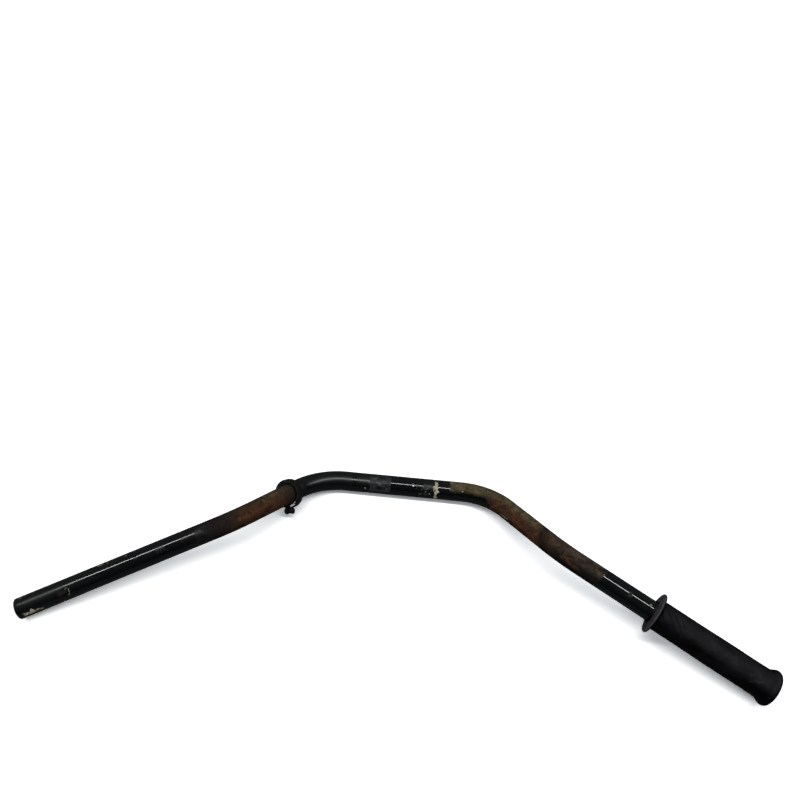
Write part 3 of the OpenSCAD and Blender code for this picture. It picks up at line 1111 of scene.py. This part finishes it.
@dataclass
class Grip:
    """The fixed rubber grip: neck, flange, hand part with folds, flare and end bead."""

    line: CentreLine
    length: float = 131.4
    end_wall: float = 2.2
    bore: float = 11.14
    hand_r: float = 15.75
    flange_r: float = 22.2
    flange_t: float = 3.0
    neck: float = 3.4
    bead_r: float = 19.0
    bead_w: float = 8.0
    sides: int = 120

    def outline(self) -> list[Point]:
        """Outline from the open end's bore, round the outside, to the closed end's middle."""
        whole = self.length + self.end_wall
        flange_end = self.neck + self.flange_t
        points = [(self.bore, self.length), (self.bore, self.length / 2), (self.bore, 0.6)]
        points += arc((11.75, 0.6), 0.6, 180, 270, 3) + arc((11.6, 0.8), 0.8, -70, 0, 3)
        points += [(12.4, 1.9)] + arc((11.8, 2.0), 0.6, 0, 80, 3)
        points += [(11.65, 2.9), (11.7, self.neck - 0.1), (12.2, self.neck)]
        points += [(r, self.neck - 0.12 * math.sin((r - 12.2) / 9.0 * math.pi)) for r in (14, 16, 18, 20)]
        points += arc((self.flange_r - 1.4, self.neck + 1.4), 1.4, -90, 90, 8)
        points += [(19.5, flange_end - 0.1), (17.6, flange_end + 0.1), (16.4, flange_end + 0.9)]
        first, last = flange_end + 2.4, whole - self.bead_w - 5.0
        rings = 84
        points += [(self.hand_r, first + (last - first) * i / rings) for i in range(rings + 1)]
        flare = 12
        for i in range(1, flare):
            share = i / flare
            grow = (1 - math.cos(share * math.pi)) / 2
            points.append((self.hand_r + (self.bead_r - self.hand_r) * grow, last + share * 8.4))
        points += arc((self.bead_r - 4.6, whole - 4.6), 4.6, 0, 82, 9)
        points += [(12.4, whole - 0.02), (9.0, whole - 0.3), (8.2, whole - 0.75), (4.0, whole - 0.8)]
        points.append((0.0, whole - 0.8))
        return points

    def build(self, finish: bpy.types.Material) -> bpy.types.Object:
        """Turns the outline, closes the bore's floor, and works the rubber's unevenness in."""
        piece = lathe("rubber_grip", [(0.0, self.length)] + self.outline(), self.sides)
        self._knead(piece)
        centre, way = self.line.pose(self.line.end - self.length * MM)
        matrix = frame_matrix(centre, way.cross(Vector((0, 0, 1))), way)
        settle(piece, matrix)
        places = self.line.straighten(points_of(piece))
        mark(piece, places)
        return hand_over(piece, Body.BAR, Slot.GRIP, ("grip",), [finish], 50.0)

    def _knead(self, piece: bpy.types.Object) -> None:
        """Makes the hand part slowly uneven, presses its folds in and stores how deep they are."""
        points = points_of(piece)
        radius = np.hypot(points[:, 0], points[:, 1])
        height = points[:, 2] / MM
        turn = np.arctan2(points[:, 1], points[:, 0])
        folds = np.zeros(len(points))
        start = self.neck + self.flange_t + 1.0
        whole = self.length + self.end_wall
        for i in np.flatnonzero((radius > 14.0 * MM) & (height > start)):
            hand = min(1.0, (height[i] - start) / 4.0) * min(1.0, max(0.0, (whole - height[i]) / 10.0))
            uneven = noise.noise(Vector((height[i] / 34.0, math.cos(turn[i]), math.sin(turn[i]))))
            lift = 0.32 * uneven * hand
            folds[i] = sum(crease.depth_at(height[i], turn[i]) for crease in CREASES)
            lift -= folds[i] * hand
            grow = 1 + lift * MM / radius[i]
            points[i, 0] *= grow
            points[i, 1] *= grow
        set_points(piece, points)
        piece.data.attributes.new(FOLD, "FLOAT", "POINT").data.foreach_set("value", folds)


@dataclass(frozen=True)
class Crease:
    """A slanting fold in the grip's rubber, or a pale raised stroke if its depth is negative.

    It starts at a height in mm and a turn in degrees, runs round by reach in degrees while it
    climbs by slant in mm, and fades at both ends. Depth and width are in mm.
    """

    start: float
    turn: float
    slant: float
    reach: float
    depth: float
    width: float

    def depth_at(self, height: float, turn: float) -> float:
        """Depth of the fold in mm at a height in mm and a turn in radians."""
        down = (math.degrees(turn) - self.turn + 180) % 360 - 180
        share = down / self.reach
        if not 0 < share < 1:
            return 0.0
        away = (height - self.start - self.slant * share) / self.width
        return self.depth * math.sin(share * math.pi) * math.exp(-away * away)


CREASES = (
    Crease(5.0, -112.0, 9.0, 74.0, 0.9, 0.8),
    Crease(8.0, -122.0, 21.0, 88.0, 1.0, 0.8),
    Crease(16.0, -118.0, 19.0, 78.0, 0.8, 0.9),
    Crease(25.0, -110.0, 15.0, 62.0, 0.5, 0.9),
    Crease(84.0, -130.0, 20.0, 80.0, 0.22, 1.4),
    Crease(60.0, 100.0, 18.0, 90.0, 0.4, 1.6),
    Crease(104.0, -36.0, 15.0, -42.0, -0.16, 0.6),
    Crease(110.0, -44.0, 11.0, -36.0, -0.16, 0.5),
    Crease(102.0, -56.0, 8.0, -30.0, -0.14, 0.5),
)


# --------------------------------------------------------------------- the clamp


@dataclass
class CableClamp:
    """The small clamp that sits askew on the left leg: cushion, band, screw, washer and nut."""

    line: CentreLine
    reach: float = 44.1 * MM
    skew: float = 27.7
    skew_turn: float = 17.8
    ear_turn: float = -57.5
    band_r: float = 16.45
    band_t: float = 1.6
    band_w: float = 7.0
    ear_gap: float = 1.9
    ear_tip: float = 2.9
    fold_r: float = 1.6
    screw_reach: float = 19.8
    screw_r: float = 2.0
    screw_hole_r: float = 2.15
    thread_pitch: float = 0.7
    thread_depth: float = 0.3
    slot_turn: float = 35.0
    head_r: float = 3.4
    head_h: float = 2.2
    washer_r: float = 3.4
    washer_t: float = 0.5
    nut_h: float = 2.9
    nut_flat: float = 3.5
    bore_r: float = 11.15
    groove: tuple[float, float] = (12.9, 13.9)
    groove_depth: float = 0.9
    crescent: float = 1.5
    crescent_turn: float = -34.0

    def __post_init__(self) -> None:
        """Works out the clamp's own frame and the frame of its screw."""
        mirror = Matrix.Diagonal((-1, 1, 1))
        corner = mirror @ Vector((self.line.middle_reach, 0, 0))
        outward = mirror @ self.line.leg_way
        way = -outward
        level = Vector((0, 0, 1)).cross(way)
        tube = frame_matrix(corner + outward * self.reach, level.cross(way), way)
        self.tube_frame = self.frame = tube
        for turn, axis in ((self.skew_turn, "Z"), (self.skew, "Y"), (self.ear_turn, "Z")):
            self.frame = self.frame @ Matrix.Rotation(math.radians(turn), 4, axis)
        out = Matrix.Translation((self.screw_reach * MM, 0, 0)) @ Matrix.Rotation(math.radians(-90), 4, "X")
        self.screw_frame = self.frame @ out
        self.ear_face = self.ear_gap / 2 + self.band_t

    def build(self, rubber: bpy.types.Material, coating: bpy.types.Material,
              steel: bpy.types.Material) -> None:
        """Builds and dresses the five pieces."""
        pieces = (
            (self.cushion(), self.frame, Slot.CUSHION, "clamp_cushion", rubber),
            (self.band(), self.frame, Slot.BAND, "clamp_band", coating),
            (self.screw(), self.screw_frame, Slot.FASTENER, "clamp_screw", steel),
            (self.washer(), self.screw_frame, Slot.FASTENER, "clamp_washer", steel),
            (self.nut(), self.screw_frame, Slot.FASTENER, "clamp_nut", steel),
        )
        for piece, matrix, slot, node, finish in pieces:
            settle(piece, matrix)
            mark(piece, local_places(piece, matrix))
            hand_over(piece, Body.CLAMP, slot, (node,), [finish])

    def cushion(self) -> bpy.types.Object:
        """Rubber sleeve: grooved faces, a bore that follows the tube, a split and a crescent."""
        outer = self.band_r - self.band_t - 0.05
        half = self.band_w / 2 - 0.2
        low, high = self.groove
        floor = half - self.groove_depth
        face = [(outer, half - 0.25), (outer - 0.25, half), (high + 0.2, half), (high, floor), (low, floor),
                (low - 0.2, half), (8.0, half)]
        under = [(r, -h) for r, h in reversed(face)]
        piece = lathe("clamp_rubber", [(0.0, half)] + face[::-1] + under[::-1] + [(0.0, -half)], 96)
        points = points_of(piece)
        crescent_turn = math.radians(self.crescent_turn)
        lean = np.array((math.cos(crescent_turn), math.sin(crescent_turn), 0.0))
        radius = np.hypot(points[:, 0], points[:, 1])
        edge = radius > 12.5 * MM
        facing = np.clip(points[:, :2] @ lean[:2] / np.maximum(radius, 1e-9), 0, 1)
        points[edge] -= lean * self.crescent * MM * facing[edge, None]
        set_points(piece, points)
        deselect()
        bpy.ops.mesh.primitive_cylinder_add(vertices=96, radius=self.bore_r * MM, depth=60 * MM)
        bore = name_new("bore")
        settle(bore, self.frame.inverted() @ self.tube_frame)
        cut_away(piece, bore)
        deselect()
        bpy.ops.mesh.primitive_cube_add(size=1, location=(14 * MM, 0, 0), scale=(12 * MM, 1.2 * MM, 20 * MM))
        split = name_new("split")
        settle(split)
        cut_away(piece, split)
        tidy_normals(piece)
        return piece

    def band(self) -> bpy.types.Object:
        """Steel band: a flat section spun round the clamp, folded out into two ears."""
        middle_r = self.band_r - self.band_t / 2
        ear_mid = self.ear_gap / 2 + self.band_t / 2
        hub_reach = middle_r + self.fold_r
        lift = math.asin((ear_mid + self.fold_r) / hub_reach)
        hub = Vector((hub_reach * math.cos(lift), hub_reach * math.sin(lift), 0)) * MM
        deselect()
        bpy.ops.mesh.primitive_plane_add(size=1)
        piece = name_new("clamp_steel_band")
        piece.data.transform(Matrix.Diagonal((self.band_t * MM, self.band_w * MM, 1, 1)))
        stand = frame_matrix(Vector((middle_r * MM, 0, 0)), Vector((1, 0, 0)), Vector((0, -1, 0)))
        settle(piece, Matrix.Rotation(lift, 4, "Z") @ stand)
        bpy.ops.object.mode_set(mode="EDIT")
        bpy.ops.mesh.select_all(action="SELECT")
        bpy.ops.mesh.spin(steps=110, angle=-(2 * math.pi - 2 * lift), center=(0, 0, 0), axis=(0, 0, 1))
        lower_hub = Vector((hub.x, -hub.y, 0))
        bpy.ops.mesh.spin(steps=8, angle=math.pi / 2 - lift, center=lower_hub, axis=(0, 0, 1))
        self._ear_tip(hub.x)
        bpy.ops.object.mode_set(mode="OBJECT")
        self._pick_end(piece, Vector((0, -1, 0)) @ Matrix.Rotation(-lift, 3, "Z"), hub)
        bpy.ops.mesh.spin(steps=8, angle=-(math.pi / 2 - lift), center=hub, axis=(0, 0, 1))
        self._ear_tip(hub.x)
        bpy.ops.mesh.select_mode(type="VERT")
        bpy.ops.object.mode_set(mode="OBJECT")
        tidy_normals(piece)
        self._drill(piece)
        apply_modifier(piece, "BEVEL", width=0.18 * MM, segments=2, limit_method="ANGLE",
                       angle_limit=math.radians(40))
        return piece

    def _ear_tip(self, start: float) -> None:
        """Extrudes the selected end face out along X in three strides, the last one narrower."""
        reach = self.screw_reach * MM
        tip = self.ear_tip * MM
        for move, shrink in ((reach - start, 1.0), (0.55 * tip, 0.86), (0.3 * tip, 0.74), (0.15 * tip, 0.6)):
            bpy.ops.mesh.extrude_region_move(TRANSFORM_OT_translate={"value": (move, 0, 0)})
            bpy.ops.transform.resize(value=(1, 1, shrink), center_override=(0, 0, 0))

    @staticmethod
    def _pick_end(piece: bpy.types.Object, normal: Vector, near: Vector) -> None:
        """Selects, in edit mode, the band's first end face, which is nearest the given point."""
        focus(piece)
        bpy.ops.object.mode_set(mode="EDIT")
        bpy.ops.mesh.select_all(action="DESELECT")
        bpy.ops.mesh.select_mode(type="FACE")
        bpy.ops.object.mode_set(mode="OBJECT")
        across = [p for p in piece.data.polygons
                  if abs(abs(p.normal.dot(normal)) - 1) < 0.02 and p.center.y > 0]
        chosen = min(across, key=lambda p: (p.center - near).length)
        chosen.select = True
        bpy.ops.object.mode_set(mode="EDIT")

    def _drill(self, piece: bpy.types.Object) -> None:
        """Bores the screw's hole through both ears."""
        deselect()
        bpy.ops.mesh.primitive_cylinder_add(vertices=32, radius=self.screw_hole_r * MM, depth=12 * MM)
        drill = name_new("drill")
        settle(drill, self.frame.inverted() @ self.screw_frame)
        cut_away(piece, drill)

    def screw(self) -> bpy.types.Object:
        """Slotted pan-head screw with a cut thread."""
        face, end = -self.ear_face, self.ear_face + self.washer_t + self.nut_h + 0.4
        top = face - self.head_h
        outline = [(0.0, top), (1.6, top + 0.02), (2.6, top + 0.28)]
        outline += arc((self.head_r - 1.0, top + 1.35), 1.0, -60, 0, 4)
        outline += [(self.head_r, face - 0.15), (self.head_r - 0.15, face), (self.screw_r, face)]
        rings = 96
        start = face + 0.4
        outline += [(self.screw_r - 0.02, start + (end - 0.4 - start) * i / rings) for i in range(rings + 1)]
        outline += [(self.screw_r - 0.4, end), (0.0, end)]
        piece = lathe("clamp_slotted_screw", outline, 32)
        points = points_of(piece)
        radius = np.hypot(points[:, 0], points[:, 1])
        turn = np.arctan2(points[:, 1], points[:, 0]) / (2 * math.pi)
        shank = (radius > 1.9 * MM) & (radius < 2.0 * MM) & (points[:, 2] > start * MM)
        phase = (points[:, 2] / MM / self.thread_pitch - turn) % 1
        groove = self.thread_depth * MM * (1 - np.abs(2 * phase - 1))
        shrink = 1 - groove[shank] / radius[shank]
        points[shank, 0] *= shrink
        points[shank, 1] *= shrink
        set_points(piece, points)
        deselect()
        bpy.ops.mesh.primitive_cube_add(size=1, location=(0, 0, top * MM), scale=(1.0 * MM, 9 * MM, 1.6 * MM))
        slot = name_new("slot")
        settle(slot, Matrix.Rotation(math.radians(self.slot_turn), 4, "Z"))
        cut_away(piece, slot)
        tidy_normals(piece)
        return piece

    def washer(self) -> bpy.types.Object:
        """Plain washer with softened edges."""
        low, high = self.ear_face, self.ear_face + self.washer_t
        hole, edge = self.screw_hole_r, self.washer_r
        outline = [(hole + 0.05, low), (edge - 0.1, low), (edge, low + 0.12), (edge, high - 0.12),
                   (edge - 0.1, high), (hole + 0.05, high), (hole, high - 0.06), (hole, low + 0.06)]
        return lathe("clamp_plain_washer", outline, 40, closed=True)

    def nut(self) -> bpy.types.Object:
        """Hexagon nut with chamfered corners."""
        low = self.ear_face + self.washer_t
        high = low + self.nut_h
        deselect()
        across = self.nut_flat / math.cos(math.radians(30))
        bpy.ops.mesh.primitive_cylinder_add(vertices=6, radius=across * MM, depth=self.nut_h * MM,
                                            location=(0, 0, (low + high) / 2 * MM))
        piece = name_new("clamp_hex_nut")
        settle(piece, Matrix.Rotation(math.radians(30), 4, "Z"))
        cone = lathe("chamfer", [(0.0, low), (3.45, low), (4.1, low + 0.4), (4.1, high - 0.4), (3.45, high),
                                 (0.0, high)], 48)
        cut_away(piece, cone, "INTERSECT")
        deselect()
        bpy.ops.mesh.primitive_cylinder_add(vertices=32, radius=self.screw_r * MM, depth=4 * self.nut_h * MM,
                                            location=(0, 0, low * MM))
        hole = name_new("hole")
        cut_away(piece, hole)
        tidy_normals(piece)
        return piece


# --------------------------------------------------------------------- the studio


@dataclass
class Studio:
    """Pale floor, soft light, a long ceiling lamp and the camera."""

    floor_point: Vector = field(default_factory=lambda: Vector((0.0, 0.0, -11.91)) * MM)
    floor_normal: Vector = field(default_factory=lambda: Vector((0.01037, 0.01058, 0.99989)))
    camera_place: Vector = field(default_factory=lambda: Vector((31.97, -418.62, 741.19)) * MM)
    camera_aim: Vector = field(default_factory=lambda: Vector((-0.05277, 0.58965, -0.80594)))
    camera_up: Vector = field(default_factory=lambda: Vector((-0.08799, 0.80118, 0.59192)))
    lens: float = 32.70
    floor_seen: Colour = (1.36, 1.36, 1.355)
    floor_in_gloss: Colour = (0.07, 0.07, 0.07)
    lamp_place: Vector = field(default_factory=lambda: Vector((0.15, -0.18, 2.5)))
    lamp_aim: Vector = field(default_factory=lambda: Vector((0.15, -0.1, 0.0)))
    lamp_size: tuple[float, float] = (4.2, 0.16)
    lamp_power: float = 50.0
    room_light: float = 0.62
    room_in_gloss: tuple[float, float] = (0.012, 0.060)

    def floor(self) -> None:
        """Lays a wide plain pale floor under the bar's three resting points."""
        deselect()
        bpy.ops.mesh.primitive_plane_add(size=14)
        floor = name_new("studio_floor")
        settle(floor, frame_matrix(self.floor_point, Vector((1, 0, 0)), self.floor_normal))
        paint = bpy.data.materials.new("pale_floor")
        paint.use_nodes = True
        shader = paint.node_tree.nodes["Principled BSDF"]
        tree = paint.node_tree
        seen = put(tree, "ShaderNodeLightPath").outputs["Is Camera Ray"]
        plug(tree, shader.inputs["Base Color"], blend(tree, seen, self.floor_in_gloss, self.floor_seen))
        shader.inputs["Roughness"].default_value = 0.8
        shader.inputs["Specular IOR Level"].default_value = 0.1
        floor.data.materials.append(paint)

    def lamp(self) -> None:
        """Hangs the long ceiling lamp and turns it to the bar."""
        data = bpy.data.lights.new("ceiling_strip", "AREA")
        data.shape = "RECTANGLE"
        data.size, data.size_y = self.lamp_size
        data.energy = self.lamp_power
        lamp = bpy.data.objects.new("ceiling_strip", data)
        bpy.context.scene.collection.objects.link(lamp)
        lamp.matrix_world = frame_matrix(self.lamp_place, Vector((1, 0, 0)), self.lamp_place - self.lamp_aim)

    def sky(self) -> None:
        """Soft room light, brighter ahead of the bar than behind the camera."""
        world = bpy.data.worlds.new("studio_room")
        world.use_nodes = True
        tree = world.node_tree
        direction = put(tree, "ShaderNodeTexCoord").outputs["Generated"]
        y = put(tree, "ShaderNodeSeparateXYZ", None, Vector=direction).outputs[1]
        in_gloss = ramp(tree, y, -0.1, 0.5, *self.room_in_gloss)
        glossy = put(tree, "ShaderNodeLightPath").outputs["Is Glossy Ray"]
        strength = ramp(tree, glossy, 0.0, 1.0, self.room_light, in_gloss)
        back = tree.nodes["Background"]
        plug(tree, back.inputs["Color"], (0.94, 0.97, 1.0))
        plug(tree, back.inputs["Strength"], strength)
        bpy.context.scene.world = world

    def camera(self) -> None:
        """Sets the camera that looks down at the bar from the rider's side."""
        data = bpy.data.cameras.new("camera")
        data.lens = self.lens
        data.sensor_width = 36.0
        camera = bpy.data.objects.new("camera", data)
        bpy.context.scene.collection.objects.link(camera)
        right = self.camera_aim.cross(self.camera_up)
        camera.matrix_world = frame_matrix(self.camera_place, right, -self.camera_aim)
        bpy.context.scene.camera = camera

    def build(self) -> None:
        """Sets up the floor, the lamp, the room light, the camera and the picture's tone."""
        self.floor()
        self.lamp()
        self.sky()
        self.camera()
        settings = bpy.context.scene.view_settings
        settings.view_transform = "Standard"
        settings.look = "None"


# --------------------------------------------------------------------- the whole


GRIP_RUBBER = RubberFinish("dusty_grip_rubber", black=(0.0006, 0.0005, 0.0008),
                           worn=(0.0032, 0.0028, 0.0042), dust=(0.060, 0.054, 0.058), dust_amount=0.24,
                           dusty_span=(315.2, 317.6, 0.4))
CLAMP_RUBBER = RubberFinish("clamp_black_rubber", black=(0.0012, 0.0014, 0.0014),
                            worn=(0.0034, 0.0042, 0.0042), dust=(0.040, 0.044, 0.042), dust_amount=0.12,
                            groove=(12.9, 14.7), painted_light_turn=CableClamp.crescent_turn)
BAND_COATING = CoatedSteelFinish("black_coated_steel", black=(0.0016, 0.0019, 0.0021),
                                 grey=(0.05, 0.05, 0.048), wear=0.16)
FASTENER_STEEL = CoatedSteelFinish("blackened_fasteners", black=(0.0016, 0.0017, 0.0017),
                                   grey=(0.04, 0.038, 0.036), wear=0.22)


def main() -> None:
    """Builds the handlebar's visual pieces round the frame, in order."""
    logging.basicConfig(level=logging.INFO, format="%(message)s")
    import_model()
    Studio().build()
    effects = Effects()
    line = CentreLine()
    enamel = {zone: EnamelFinish().build(effects, zone) for zone in Zone}
    BarTube(line).build(enamel)
    Grip(line).build(GRIP_RUBBER.build(effects))
    CableClamp(line).build(CLAMP_RUBBER.build(effects), BAND_COATING.build(effects),
                           FASTENER_STEEL.build(effects))


if __name__ == "__main__":
    main()
